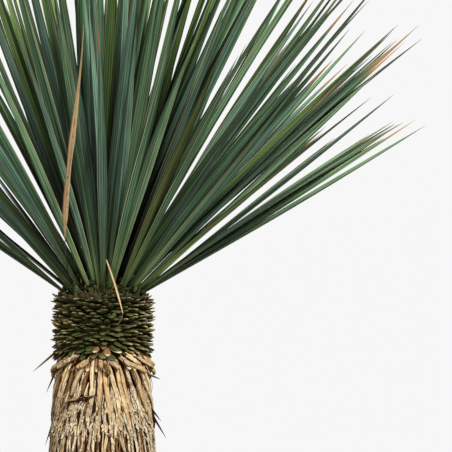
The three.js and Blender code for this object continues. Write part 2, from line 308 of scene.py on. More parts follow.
def leaf_finish(name, settings, body):
    """Waxy leaf: fine ribs, a yellower foot, horny edges and a dry tip; painted light and shade on its halves
    and edges, and painted sheen.
    """
    paint = Finish(name, 0.5, 0.14)
    blade = paint.blade()
    ribs = paint.grain(blade.run, 1.0, 2.0, 0.6, (9, 0.7, 1))
    # Painted sheen: lighter and darker patches along the leaf; the same noise roughens the edge of the dry tip
    sheen_and_tip_noise = paint.grain(blade.run, 1.0, 2.0, 0.5, (1.4, 7, 1))
    deep = times(body, LEAF_DEEP)
    paint.mix(paint.graded(ribs, 0.40, 0.60), deep, times(body, LEAF_WAXY))
    paint.cover(settings.foot, blade.along, 0.04, 0.34, 0.85, 0)
    # Painted light and shade: one half of each leaf lighter and the other darker
    side = paint.graded(blade.across, 0.42, 0.58, -1, 1)
    half = paint.maths("ADD", paint.maths("MULTIPLY", side, paint.trait("fold")), 1.0)
    paint.light(paint.maths("MULTIPLY", half, paint.graded(sheen_and_tip_noise, 0.3, 0.7, 0.72, 1.25)))
    # Painted shadow along the edges, deepest on the shaded half, then the pale horny margin, brighter on the lit
    # half as a painted highlight
    shadow = paint.graded(half, 0.9, 1.1, 0.95, 0.5)
    margin_and_highlight = paint.graded(half, 0.92, 1.2, 0.05, 0.95)
    edges = ((0.34, 0.44, shadow, times(deep, 0.3)), (0.445, 0.47, margin_and_highlight, settings.margin))
    for low, high, strength, edge in edges:
        share = paint.maths("MULTIPLY", paint.graded(blade.rim, low, high), strength)
        paint.mix(share, paint.colour, edge)
    past = paint.maths("SUBTRACT", blade.along, paint.trait("dry_from"))
    ragged = paint.maths("ADD", past, paint.graded(sheen_and_tip_noise, 0, 1, -0.02, 0.02))
    paint.cover(settings.tip, ragged, -0.02, 0.04, 0, 0.9)
    return paint.finished_blades(ribs, 0.35, 0.0006)


def dead_leaf_finish(name, settings):
    """Dried leaf: straw and rust streaks along it, dark edges and blotches, and a green foot darkened as painted
    shade.
    """
    paint = Finish(name, 0.75, 0.2)
    blade = paint.blade()
    streaks = paint.grain(blade.run, 1.0, 4.0, 0.6, (6, 1.2, 1))
    patches = paint.grain(blade.run, 1.0, 3.0, 0.6, (3, 26, 1))
    paint.mix(paint.graded(streaks, 0.35, 0.65), settings.tip, settings.dead)
    paint.cover(times(settings.tip, 0.5), blade.rim, 0.32, 0.46, 0, 0.7)
    paint.cover(times(settings.dead, 0.25), patches, 0.46, 0.38, 0, 0.75)
    # Painted shade: below where it dries, the leaf is deep green darkened to sink into the shade of the head
    past = paint.maths("SUBTRACT", blade.along, paint.trait("dry_from"))
    paint.mix(paint.graded(past, -0.01, 0.01), times(settings.deep_green, 0.4), paint.colour)
    return paint.finished_blades(streaks, 0.5, 0.0006)


def scale_finish(name, body, end):
    """Green leaf base: fibrous, with drier edges and a drier end."""
    paint = Finish(name, 0.7, 0.25)
    blade = paint.blade()
    fibres = paint.grain(blade.run, 1.0, 4.0, 0.65, (16, 3, 1))
    paint.mix(paint.graded(fibres, 0.32, 0.68), times(body, 0.6), body)
    paint.cover(end, blade.rim, 0.40, 0.5, 0, 0.2)
    paint.cover(end, blade.along, 0.6, 0.92, 0, 0.8)
    return paint.finished_blades(fibres, 0.5, 0.001)


def husk_finish(name, body, dark, cracked):
    """Dry husk: long fibres with dark splits, painted shade along its edges and a net of fine cracks."""
    paint = Finish(name, 0.9, 0.06)
    blade, place = paint.blade(), paint.place()
    fibres = paint.grain(blade.run, 1.0, 5.0, 0.75, (4, 1.6, 1))
    patches = paint.grain(place, 70.0, 4.0, 0.6)
    drift = paint.add("ShaderNodeTexNoise", {"Vector": place, "Scale": 90.0, "Detail": 3.0}).outputs[1]
    wander = {0: drift, 1: CRACK_WANDER, 2: place}
    wandered = paint.add("ShaderNodeVectorMath", wander, operation="MULTIPLY_ADD").outputs[0]
    cells = paint.add("ShaderNodeMapping", {"Vector": wandered, "Scale": CRACK_CELLS}).outputs[0]
    net = paint.add("ShaderNodeTexVoronoi", {"Vector": cells, "Scale": 1.0}, feature="DISTANCE_TO_EDGE")
    split_and_edge_shade = times(dark, HUSK_SPLIT_AND_EDGE_SHADE)
    paint.mix(paint.graded(fibres, 0.36, 0.56), dark, body)
    paint.cover(dark, patches, 0.36, 0.6, 0.4, 0)
    # Painted shade: darker towards the edges of each strap, where it turns away from the light
    paint.cover(split_and_edge_shade, blade.rim, 0.28, 0.5, 0, 0.85)
    paint.cover(split_and_edge_shade, net.outputs["Distance"], 0.015, 0.1, cracked, 0)
    return paint.finished_blades(fibres, 0.8, 0.0016)


def bark_finish(name, body, damp):
    """Corky bark: upright ridges, dark in the cracks, and damp and dark under the collar."""
    paint = Finish(name, 0.9, 0.15)
    place = paint.place()
    ridges = paint.grain(place, 120.0, 6.0, 0.65, (1, 1, 0.3))
    height = paint.add("ShaderNodeSeparateXYZ", {0: place}).outputs[2]
    covered = SOIL_LEVEL + COLLAR_FOOT
    paint.mix(paint.graded(ridges, 0.35, 0.65), times(body, 0.3), body)
    paint.cover(damp, height, covered - DAMP_FADE, covered, 0, 0.95)
    return paint.finished(ridges, 0.8, 0.003)


def clay_finish(name, settings):
    """Fired clay: fine grain, cloudy colour and a pale bloom."""
    paint = Finish(name, 0.85, 0.25)
    place, body = paint.place(), settings.clay
    clouds = paint.grain(place, 9.0, 5.0, 0.6)
    bands = paint.grain(place, 16.0, 3.0, 0.5, (0.25, 0.25, 2.4))
    sand = paint.grain(place, 420.0, 3.0, 0.6)
    paint.mix(paint.graded(clouds, 0.3, 0.7), times(body, 0.78), times(body, 1.12))
    paint.cover(settings.lime, bands, 0.55, 0.8, 0, 0.3)
    paint.cover(times(body, 0.5), sand, 0.62, 0.75, 0, 0.3)
    paint.put(paint.graded(clouds, 0.3, 0.7, 0.78, 0.95), paint.sockets["Roughness"])
    return paint.finished(sand, 0.25, 0.0008)


def earth_finish(name, body, fleck):
    """Damp soil or grit: crumbly, with paler flecks."""
    paint = Finish(name, 0.95, 0.15)
    place = paint.place()
    crumbs = paint.grain(place, 140.0, 6.0, 0.7)
    flecks = paint.grain(place, 320.0, 2.0, 0.5)
    paint.mix(paint.graded(crumbs, 0.35, 0.65), times(body, 0.5), body)
    paint.cover(fleck, flecks, 0.64, 0.7, 0, 0.6)
    return paint.finished(crumbs, 0.7, 0.004)


# Meshes

# Sections of the blades, as (across, deep, place over the width) round the blade
LEAF_SECTION = [
    (-1, 0, 0), (-0.5, 0.22, 0.25), (0, 0.5, 0.5), (0.5, 0.22, 0.75),
    (1, 0, 1), (0.55, 0.55, 0.775), (0, 1, 0.5), (-0.55, 0.55, 0.225),
]
SCALE_SECTION = [
    (-1, 0, 0), (-0.5, -0.75, 0.25), (0.5, -0.75, 0.75),
    (1, 0, 1), (0.55, 0.8, 0.775), (-0.55, 0.8, 0.225),
]
STRAP_SECTION = [
    (-1, -0.2, 0), (0, -0.6, 0.5), (1, -0.2, 1),
    (0.8, 0.55, 0.9), (0, 1, 0.5), (-0.8, 0.55, 0.1),
]
BLADE_CREASE = 38

# Each blade's cell in the map for baking: where its walls start and how far they reach, and its end caps
CELL_ACROSS = (0.06, 0.88)
CELL_ALONG = (0.04, 0.92)
CAP_CENTRE = (0.5, 0.016)
CAP_RADII = (0.3, 0.012)

Blades = namedtuple("Blades", "centre across normal half_width depth")


def piece_from(name, mesh, materials):
    """A piece of the object, at the origin, with its place in its mesh."""
    for material in materials:
        mesh.materials.append(material)
    piece = bpy.data.objects.new(name, mesh)
    bpy.context.scene.collection.objects.link(piece)
    return piece


def settle(piece, slot, *nodes):
    """Rides the piece on the part's one body, in place of the nodes that it stands for."""
    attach(piece, "root")
    if nodes:
        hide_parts(*nodes)


def mesh_from(name, bm):
    mesh = bpy.data.meshes.new(name)
    bm.to_mesh(mesh)
    bm.free()
    return mesh


def smooth(mesh, degrees):
    mesh.polygons.foreach_set("use_smooth", np.ones(len(mesh.polygons), bool))
    mesh.set_sharp_from_angle(angle=math.radians(degrees))


def turned(bm, profile, steps):
    """Spins a profile of (radius, height) pairs round the Z axis into a closed body."""
    verts = [bm.verts.new((radius, 0, height)) for radius, height in profile]
    edges = [bm.edges.new(pair) for pair in zip(verts, verts[1:])]
    bmesh.ops.spin(
        bm, geom=verts + edges, axis=(0, 0, 1), cent=(0, 0, 0), angle=2 * math.pi, steps=steps, use_merge=True
    )
    bmesh.ops.remove_doubles(bm, verts=bm.verts, dist=1e-6)
    bmesh.ops.dissolve_degenerate(bm, edges=bm.edges, dist=1e-7)
    bmesh.ops.recalc_face_normals(bm, faces=bm.faces)


def add_map(mesh, name, *parts):
    """A UV map from the places of the corners: those of the walls, then of the roots and the ends."""
    flat = np.concatenate([part.reshape(-1, 2) for part in parts]).astype(np.float32)
    mesh.uv_layers.new(name=name).data.foreach_set("uv", flat.ravel())


def blade_mesh(name, blades, section, rows, slots, **traits):
    """One mesh of many closed blades.

    The first axis of every array is the blade and the second the station along it. A trait has one value for
    each blade or each station, which the finishes read. The map for baking has its cells in rows.
    """
    count, stations = blades.half_width.shape
    sides = len(section)
    out, deep, place = (np.array(values, float) for values in zip(*section))
    points = (
        blades.centre[:, :, None]
        + blades.across[:, :, None] * (blades.half_width[..., None] * out)[..., None]
        + blades.normal[:, :, None] * (blades.depth[..., None] * deep)[..., None]
    )
    first = np.arange(count * stations * sides).reshape(count, stations, sides)
    following = np.roll(first, -1, axis=2)
    walls = np.stack([first[:, :-1], first[:, 1:], following[:, 1:], following[:, :-1]], axis=-1)
    faces = walls.reshape(-1, 4).tolist() + first[:, 0].tolist() + first[:, -1, ::-1].tolist()
    mesh = bpy.data.meshes.new(name)
    mesh.from_pydata(points.reshape(-1, 3).tolist(), [], faces)

    share = np.broadcast_to(np.linspace(0, 1, stations)[:, None], (stations, sides))
    wall_along = np.stack([share[:-1], share[1:], share[1:], share[:-1]], axis=-1)

    def wall_map(left, right, along):
        across = np.broadcast_to(np.stack([left, left, right, right], axis=-1), along.shape)
        return np.stack([across, along], axis=-1)

    def repeated(values):
        return np.broadcast_to(values, (count, *values.shape))

    roots = np.stack([place, np.zeros(sides)], axis=-1)
    ends = np.stack([place[::-1], np.ones(sides)], axis=-1)
    own_map = (wall_map(place, np.roll(place, -1), wall_along), roots, ends)
    add_map(mesh, "blade", *(repeated(part) for part in own_map))

    columns = math.ceil(count / rows)
    cell = np.stack([np.arange(count) % columns, np.arange(count) // columns], axis=-1).astype(float)
    turn = np.arange(sides + 1) / sides
    angle = 2 * math.pi * turn[:-1]
    reach = CELL_ACROSS[0] + CELL_ACROSS[1] * turn
    disc = np.array(CAP_CENTRE) + np.array(CAP_RADII) * np.stack([np.cos(angle), np.sin(angle)], axis=-1)
    in_cell = (
        wall_map(reach[:-1], reach[1:], CELL_ALONG[0] + CELL_ALONG[1] * wall_along),
        disc,
        disc[::-1] * (1, -1) + (0, 1),
    )
    size = np.array([1 / columns, 1 / rows])
    add_map(mesh, "OFBake", *((cell[:, None] + part.reshape(1, -1, 2)) * size for part in in_cell))

    for label, values in traits.items():
        spread = np.broadcast_to(values.reshape(count, -1, 1), (count, stations, sides))
        held = mesh.attributes.new(label, "FLOAT", "POINT").data
        held.foreach_set("value", spread.astype(np.float32).ravel())
    of_walls = np.repeat(slots, (stations - 1) * sides)
    mesh.polygons.foreach_set("material_index", np.concatenate([of_walls, slots, slots]).astype(np.int32))
    mesh.update()
    smooth(mesh, BLADE_CREASE)
    return mesh


def chosen(blades, mine):
    return Blades(*(values[mine] for values in blades))


def together(groups):
    return Blades(*(np.concatenate(parts) for parts in zip(*groups)))


def unit(vectors):
    return vectors / np.maximum(np.linalg.norm(vectors, axis=-1, keepdims=True), 1e-9)


def framed(centre, facing):
    """Paths with their across and normal vectors, the normal turned towards facing."""
    along = unit(np.gradient(centre, axis=1))
    across = unit(np.cross(along, np.broadcast_to(facing, centre.shape)))
    return centre, across, np.cross(across, along)


def compass(azimuth):
    """Level unit vectors for azimuths in radians."""
    return np.stack([np.cos(azimuth), np.sin(azimuth), np.zeros_like(azimuth)], axis=-1)


# Leaves

# Leaf tiers, as in the source, with the seed of each tier's sway and the shares of the greens in it
Tier = namedtuple("Tier", "name leaves sectors root low high length seed greens")
TIER_HEIGHT = 0.015
TIERS = [
    Tier("outer", 64, 8, 0.0475, 30.5, 38.5, 0.466, 7816, (0.40, 0.44, 0.15, 0.01, 0)),
    Tier("second", 82, 8, 0.039, 40, 50.5, 0.548, 5885, (0.36, 0.42, 0.15, 0, 0.07)),
    Tier("third", 48, 6, 0.029, 52, 62, 0.548, 3611, (0.14, 0.40, 0.13, 0.02, 0.31)),
    Tier("inner", 36, 4, 0.019, 63.5, 73, 0.545, 1863, (0, 0.26, 0.08, 0.04, 0.62)),
    Tier("spear", 18, 1, 0.007, 75, 86, 0.505, 2211, (0, 0.16, 0.04, 0.04, 0.76)),
]
GREENS = ("blue_green", "mid_green", "deep_green", "olive", "young_green")
GOLDEN_ANGLE = 137.508
SOURCE_LEAF_WIDTH = 0.015
LEAF_ROOT_SHARE = 0.68
LEAF_WIDEST_AT = 0.5
LEAF_SHORTEST = 0.86
LEAF_SAG = 0.028
LEAF_ROLL = 42
AZIMUTH_JITTER = 7
CROWDING = 0.32
SECTOR_MARGIN = 3
FRONT_LIFT = 0.2
FRONT_LIFT_POWER = 1.5
Leaf = namedtuple("Leaf", "level sector azimuth root_azimuth elevation length sag roll bow")

# What the source's leaves don't have: a finer outline, sway and curl as mean and spread, shades, painted light
# and shade on the halves of a leaf, and dry tips
LEAF_STATIONS = 22
LEAF_TAPER_POWER = 1.6
LEAF_SLIM = ([0, 0.1, 0.25, 0.42], [0.55, 0.68, 0.86, 1])
LEAF_THINNEST = 0.015
LEAF_DEPTH_POWER = 0.7
LEAF_SWAY = (0, 0.03)
LEAF_CURL = (0.004, 0.02)
LEAF_SHADE = (0.50, 1.46)
LEAF_HALF_LIGHT = (0.08, 0.42)
DRY_TIP_SHARE = 0.28
DRY_TIPS = (0.82, 0.95)
WHOLE_TIP = 0.972
SECTORS_IN_A_PIECE = 2

# Painted shade at the feet of the leaves, deepest in the inner tiers: how dark the feet are in each tier, and
# how far up the leaf that fades
FOOT_PAINTED_SHADE = [0.72, 0.30, 0.22, 0.20, 0.20]
FOOT_PAINTED_SHADE_FADE = [0.16, 0.50, 0.62, 0.66, 0.66]

# Partings in the head, in the photo's pixels: foot, end, width and how far leaves give way. A later one may
# close an earlier one, so the one that leaves give way to most is last
PARTINGS = [
    ((50, 210), (-4, 110), 3.6, 16), ((28, 122), (-4, 43), 3.4, 16), ((54, 273), (-4, 215), 3.2, 16),
    ((206, 106), (272, -10), 11, 16), ((174, 72), (195, -6), 4.5, 16), ((200, 54), (226, -6), 5, 16),
    ((242, 98), (324, -10), 6.5, 16), ((249, 73), (304, -10), 7, 16), ((276, 84), (358, -10), 6.5, 16),
    ((152, 88), (171, -6), 2.6, 16), ((78, 48), (67, -6), 4.2, 16), ((208, 222), (302, 139), 2.4, 14),
    ((184, 252), (328, 154), 5, 22), ((163, 216), (240, 87), 4.6, 36),
]
LEAST_PUSH_SHARE = 0.1

# The dead leaf in front, a little straighter than in the source: where it is dry, how far it stands forward
# and its width along it
DEAD_LEAF = Leaf(0, 6, 276.3, 205, 37, 0.4935, -0.0035, 12, -0.021)
DEAD_LEAF_STATIONS = 40
DEAD_LEAF_DRY_FROM = 0.232
DEAD_LEAF_FORWARD = 0.014
DEAD_LEAF_SHARES = [0, 0.22, 0.245, 0.28, 0.31, 0.38, 0.52, 0.60, 0.68, 0.75, 0.82, 0.88, 1]
DEAD_LEAF_WIDTHS = [
    0.0006, 0.0006, 0.0014, 0.0040, 0.0074, 0.0080, 0.0062, 0.0090, 0.0073, 0.0060, 0.0033, 0.0022, 0.0010,
]

# The straw on the collar and the fibre that hangs from it
STRAW_TOP = (0.0055, -0.092, 0.826)
STRAW_FOOT = (0.0305, -0.075, 0.746)
STRAW_WIDTH = 0.0027
STRAW_BEND = 0.0015
FIBRE_FOOT = (0.0238, -0.075, 0.731)
FIBRE_WIDTH = 0.0011
FIBRE_BEND = 0.0012
STRAW_TAPER = ([0, 0.35, 0.7, 1], [0.5, 0.85, 1, 0.4])
STRIP_DEPTH = 0.4
DEAD_SHADES = [1.3, 1.0, 0.25]


def photo_view(stage):
    """Where the camera stands, and the point in the middle of its picture."""
    middle = PHOTO_SIZE / 2
    height = COLLAR_TOP_HEIGHT + (COLLAR_TOP_PIXEL - middle) * METRES_PER_PIXEL
    centre = Vector(((middle - TRUNK_PIXEL) * METRES_PER_PIXEL, 0, height))
    return Vector((centre.x, -stage.distance, stage.eye_height)), centre


def seen(points, stage):
    """Where points fall in the photo, in pixels."""
    eye, centre = (np.array(place) for place in photo_view(stage))
    reach = np.linalg.norm(centre - eye)
    ahead = (centre - eye) / reach
    over = np.cross((1.0, 0, 0), ahead)
    apart = points - eye
    scale = reach / METRES_PER_PIXEL / (apart @ ahead)
    return PHOTO_SIZE / 2 + np.stack([apart[..., 0] * scale, -(apart @ over) * scale], axis=-1)


def seeded(seed):
    """The source's run of numbers between 0 and 1."""
    state = seed
    while True:
        state = (state * 1664525 + 1013904223) & 0xFFFFFFFF
        yield state / 4294967296


def grow_leaves(settings):
    """The source's rule: a golden-angle spiral that crowds to the right, tier by tier."""
    draw = seeded(settings.seed)
    leaves = []
    for level, tier in enumerate(TIERS):
        sector_angle = 360 / tier.sectors
        half_root = math.degrees(math.asin(SOURCE_LEAF_WIDTH * LEAF_ROOT_SHARE / 2 / tier.root))
        root_reach = 1 - half_root / (sector_angle / 2) if tier.sectors > 1 else 1
        tip_reach = 1 - SECTOR_MARGIN / (sector_angle / 2) if tier.sectors > 1 else 1
        for _ in range(tier.leaves):
            turn = len(leaves) * GOLDEN_ANGLE + AZIMUTH_JITTER * (2 * next(draw) - 1)
            spiral = (turn - math.degrees(CROWDING * math.sin(math.radians(turn)))) % 360
            nearest = math.floor(spiral / sector_angle + 0.5)
            middle = nearest * sector_angle
            azimuth = middle + (spiral - middle) * tip_reach
            front = max(0, math.cos(math.radians(azimuth - FRONT_AZIMUTH))) ** FRONT_LIFT_POWER
            lean = (90 - (tier.low + (tier.high - tier.low) * next(draw))) * (1 - FRONT_LIFT * front)
            long = tier.length * (LEAF_SHORTEST + (1 - LEAF_SHORTEST) * next(draw))
            sag = LEAF_SAG * next(draw)
            roll = LEAF_ROLL * (2 * next(draw) - 1)
            root_azimuth = middle + (spiral - middle) * root_reach
            sector = nearest % tier.sectors
            leaves.append(Leaf(level, sector, azimuth, root_azimuth, 90 - lean, long, sag, roll, 0))
    return leaves


def leaf_outline(share):
    """Share of the full width along a leaf: the source's rule, with a longer point."""
    rise = LEAF_ROOT_SHARE + (1 - LEAF_ROOT_SHARE) * np.sin(np.minimum(1, share / LEAF_WIDEST_AT) * np.pi / 2)
    past = np.maximum(0, (share - LEAF_WIDEST_AT) / (1 - LEAF_WIDEST_AT))
    return rise * (1 - past**LEAF_TAPER_POWER)


def bowed(share):
    """The source's bow: 0 at both ends, and 1 a third of the way along."""
    return 6.75 * share * (1 - share) ** 2


def leaf_blades(leaves, settings, sway, curl, stations=LEAF_STATIONS):
    """The leaves as blades: the source's paths, with a slight sway and a curl at the tip."""
    table = np.array(leaves, float)
    level, _, azimuth, root_azimuth, elevation, long, sag, roll, bow = (column[:, None] for column in table.T)
    azimuth, root_azimuth, elevation = (np.radians(v[:, 0]) for v in (azimuth, root_azimuth, elevation))
    across = np.stack([-np.sin(azimuth), np.cos(azimuth), np.zeros_like(azimuth)], axis=-1)
    along = compass(azimuth) * np.cos(elevation)[:, None]
    along[:, 2] = np.sin(elevation)
    normal = np.cross(across, along)
    root_radius = np.array([TIERS[int(n)].root for n in level[:, 0]])
    root = at(compass(root_azimuth), root_radius, TRUNK_HEIGHT + (level[:, 0] + 0.5) * TIER_HEIGHT)
    share = np.linspace(0, 1, stations)[None]
    down = long * (sag * share**2 + curl[:, None] * share**2.5)
    aside = long * (bowed(share) * bow + sway[:, None] * share**1.5)
    centre = root[:, None] + along[:, None] * (long * share)[..., None]
    centre = centre + normal[:, None] * down[..., None] + across[:, None] * aside[..., None]
    twist = settings.twist * np.sign(roll) * np.maximum(0, 1 - level / 2)
    turn = np.radians((roll + twist) * share)[..., None]
    rolled = across[:, None] * np.cos(turn) - normal[:, None] * np.sin(turn)
    under = normal[:, None] * np.cos(turn) + across[:, None] * np.sin(turn)
    outline = np.maximum(leaf_outline(share) * np.interp(share, *LEAF_SLIM), LEAF_THINNEST)
    outline = np.broadcast_to(outline, centre.shape[:2])
    half_width, depth = settings.width / 2 * outline, settings.depth * outline**LEAF_DEPTH_POWER
    return Blades(centre, rolled, under, half_width, depth)


def parted(blades, stage, foot, end, width, give):
    """Turns leaves a little to the side where they would cover a parting in the head."""
    foot, end = np.array(foot, float), np.array(end, float)
    reach = np.linalg.norm(end - foot)
    way = (end - foot) / reach
    side = np.array([-way[1], way[0]])
    middle = seen(blades.centre, stage)
    edge = seen(blades.centre + blades.across * blades.half_width[..., None], stage) - middle
    keel = seen(blades.centre + blades.normal * blades.depth[..., None], stage) - middle
    along = (middle - foot) @ way / reach
    off = (middle - foot) @ side
    within = (along > 0) & (along < 1)
    hand = np.where((off * within).sum(axis=1) < 0, -1, 1)[:, None]
    toward = np.maximum(np.abs(edge @ side), -hand * (keel @ side))
    clear = width / 2 * np.sqrt(np.clip(along, 0, 1)) + toward
    need = np.where(within, np.maximum(clear - hand * off, 0), 0)
    share = np.linspace(0, 1, along.shape[1])
    push = (need / np.maximum(share, LEAST_PUSH_SHARE)).max(axis=1)
    push = np.where(push < give, push, 0)[:, None] * hand * share * METRES_PER_PIXEL
    return blades._replace(centre=blades.centre + push[..., None] * np.array([side[0], 0, -side[1]]))


def build_tier(level, leaves, yucca, greens):
    """Builds the leaves of one tier, in pieces of neighbouring sectors."""
    tier, count = TIERS[level], len(leaves)
    pick = np.random.default_rng(tier.seed)
    sway = pick.normal(*LEAF_SWAY, count)
    curl = pick.normal(*LEAF_CURL, count)
    blades = leaf_blades(leaves, yucca.leaf, sway, curl)
    for parting in PARTINGS:
        blades = parted(blades, yucca.stage, *parting)
    share = np.linspace(0, 1, LEAF_STATIONS)
    # Painted shade, darkest at the foot of each leaf and fading up it
    foot = np.interp(share, [0, FOOT_PAINTED_SHADE_FADE[level]], [FOOT_PAINTED_SHADE[level], 1])
    traits = {
        "shade": pick.uniform(*LEAF_SHADE, count)[:, None] * foot,
        # How much lighter one half of the leaf is painted and darker the other, and which half
        "fold": pick.uniform(*LEAF_HALF_LIGHT, count) * pick.choice([-1, 1], count),
        "dry_from": np.where(pick.random(count) < DRY_TIP_SHARE, pick.uniform(*DRY_TIPS, count), WHOLE_TIP),
    }
    slots = pick.choice(len(greens), count, p=tier.greens)
    sectors = np.array([leaf.sector for leaf in leaves])
    for first in range(0, tier.sectors, SECTORS_IN_A_PIECE):
        numbers = range(first + 1, min(first + SECTORS_IN_A_PIECE, tier.sectors) + 1)
        nodes = [f"{tier.name}_leaves" + (f"_{n}" if tier.sectors > 1 else "") for n in numbers]
        mine = sectors // SECTORS_IN_A_PIECE == first // SECTORS_IN_A_PIECE
        if not mine.any():
            raise RuntimeError(f"no leaf grew in {', '.join(nodes)}")
        name = nodes[0].replace("leaves", "leaf_blades")
        own = {label: values[mine] for label, values in traits.items()}
        mesh = blade_mesh(name, chosen(blades, mine), LEAF_SECTION, 2, slots[mine], **own)
        settle(piece_from(name, mesh, greens), "leaf", *nodes)


def strip(top, foot, half_width, bend):
    """One flat strip from a top to a foot, bent a little to the right and facing the front."""
    share = np.linspace(0, 1, half_width.shape[1])[None, :, None]
    centre = np.array(top) * (1 - share) + np.array(foot) * share
    centre = centre + np.array([bend, 0, 0]) * np.sin(share * np.pi)
    return Blades(*framed(centre, FORWARD), half_width, STRIP_DEPTH * half_width)


class YUCCA_OT_leaves(bpy.types.Operator):
    """Grow the head of leaves, tier by tier"""

    bl_idname = "yucca.leaves"
    bl_label = "Leaves"

    def execute(self, context):
        settings = context.scene.yucca.leaf
        greens = [leaf_finish(f"leaf_{green}", settings, getattr(settings, green)) for green in GREENS]
        leaves = grow_leaves(settings)
        for level in range(len(TIERS)):
            build_tier(level, [leaf for leaf in leaves if leaf.level == level], context.scene.yucca, greens)
        return {"FINISHED"}


class YUCCA_OT_dead_leaves(bpy.types.Operator):
    """Add the dead leaf over the front, and the straw and the fibre on the collar"""

    bl_idname = "yucca.dead_leaves"
    bl_label = "Dead Leaves"

    def execute(self, context):
        settings = context.scene.yucca.leaf
        share = np.linspace(0, 1, DEAD_LEAF_STATIONS)[None]
        leaf = leaf_blades([DEAD_LEAF], settings, np.zeros(1), np.zeros(1), DEAD_LEAF_STATIONS)
        leaf = leaf._replace(
            centre=leaf.centre + DEAD_LEAF_FORWARD * bowed(share)[..., None] * FORWARD,
            half_width=np.interp(share, DEAD_LEAF_SHARES, DEAD_LEAF_WIDTHS) / 2,
        )
        taper = np.interp(share, *STRAW_TAPER)
        straw = strip(STRAW_TOP, STRAW_FOOT, STRAW_WIDTH / 2 * taper, STRAW_BEND)
        fibre = strip(STRAW_FOOT, FIBRE_FOOT, FIBRE_WIDTH / 2 * taper[:, ::-1], FIBRE_BEND)
        mesh = blade_mesh(
            "dead_leaves", together([leaf, straw, fibre]), LEAF_SECTION, 1, np.zeros(3, int),
            shade=np.array(DEAD_SHADES), dry_from=np.array([DEAD_LEAF_DRY_FROM, -1, -1]),
        )
        settle(piece_from("dead_leaf_blades", mesh, [dead_leaf_finish("leaf_dead", settings)]), "leaf")
        return {"FINISHED"}


# Trunk

# Rings of the mesh, and the core of the head that the leaves stand on, as radius and height over the trunk
TRUNK_RINGS = np.concatenate([np.linspace(0, 0.06, 16), np.linspace(0.068, TRUNK_HEIGHT, 40)])
TRUNK_SIDES = 72
HEAD_CORE = [
    (0.052, 0.003), (0.050, 0.010), (0.043, 0.020), (0.034, 0.034),
    (0.022, 0.050), (0.008, 0.062), (0, 0.062),
]
BARK_RELIEF = 0.0022
BARK_RIDGES = Vector((90, 90, 26))
BARK_FRACTAL = (0.7, 2.0, 4)
FLAT_CUT = 0.001
SOFT_CREASE = 60
PIECES_ROUND = 6


def trunk_radius(height):
    """Radius of the bare trunk at a height above the soil, as in the source."""
    taper = TRUNK_TAPER * (1 - height / TRUNK_HEIGHT)
    return TRUNK_TOP_RADIUS + taper + ROOT_FLARE * np.exp(-height / ROOT_FLARE_FADE)


def at(level, radius, height):
    """Points on level directions, at a radius from the trunk's middle and a height above the soil."""
    points = level * radius[..., None]
    points[..., 2] = SOIL_LEVEL + height
    return points


def stubs(root, way, run, tilt):
    """Paths that leave their roots along level ways, tilted up or down, with their normals turned up."""
    centre = root[:, None] + way[:, None] * (run * np.cos(tilt))[..., None]
    centre[..., 2] += run * np.sin(tilt)
    return framed(centre, UP)


def pieces_round(name, blades, station, section, rows, slots, shade, finishes, slot, replaced):
    """Cuts the blades round the trunk into pieces by the azimuth of a station, and settles them."""
    facing = np.arctan2(blades.centre[:, station, 1], blades.centre[:, station, 0])
    part = ((facing + math.pi) / (2 * math.pi) * PIECES_ROUND).astype(int) % PIECES_ROUND
    for n in range(PIECES_ROUND):
        mine = part == n
        piece = f"{name}_{n + 1}"
        mesh = blade_mesh(piece, chosen(blades, mine), section, rows, slots[mine], shade=shade[mine])
        settle(piece_from(piece, mesh, finishes), slot, replaced)


class YUCCA_OT_trunk(bpy.types.Operator):
    """Turn the trunk and raise its bark"""

    bl_idname = "yucca.trunk"
    bl_label = "Trunk"

    def execute(self, context):
        settings = context.scene.yucca.trunk
        bm = bmesh.new()
        profile = [(0, GAP)] + [(float(trunk_radius(h)), max(float(h), GAP)) for h in TRUNK_RINGS]
        profile += [(radius, TRUNK_HEIGHT + rise) for radius, rise in HEAD_CORE]
        turned(bm, [(radius, SOIL_LEVEL + height) for radius, height in profile], TRUNK_SIDES)
        for vert in bm.verts:
            if FLAT_CUT < vert.co.z - SOIL_LEVEL < TRUNK_HEIGHT:
                ridge = noise.fractal(vert.co * BARK_RIDGES, *BARK_FRACTAL)
                vert.co += vert.co.xy.to_3d().normalized() * (BARK_RELIEF * ridge)
        mesh = mesh_from("trunk_bark", bm)
        smooth(mesh, SOFT_CREASE)
        bark = bark_finish("corky_bark", settings.bark, settings.damp)
        settle(piece_from("trunk_bark", mesh, [bark]), "trunk_wood", "trunk")
        return {"FINISHED"}


# Collar of green leaf bases

# Finishes, by number: name, the setting for its body and the setting for its end. The weathered one's pale ends
# stand on both sides of the collar as painted rim light
MOSS, DARK, RUST, DRY, FRESH, PAINTED_RIM_LIGHT = range(6)
SCALE_FINISHES = [
    ("moss", "moss_green", "fresh_green"), ("dark", "dark_green", "moss_green"), ("rust", "rust", "olive"),
    ("tan", "tan", "cream"), ("fresh", "fresh_green", "olive"), ("weathered", "moss_green", "cut"),
]

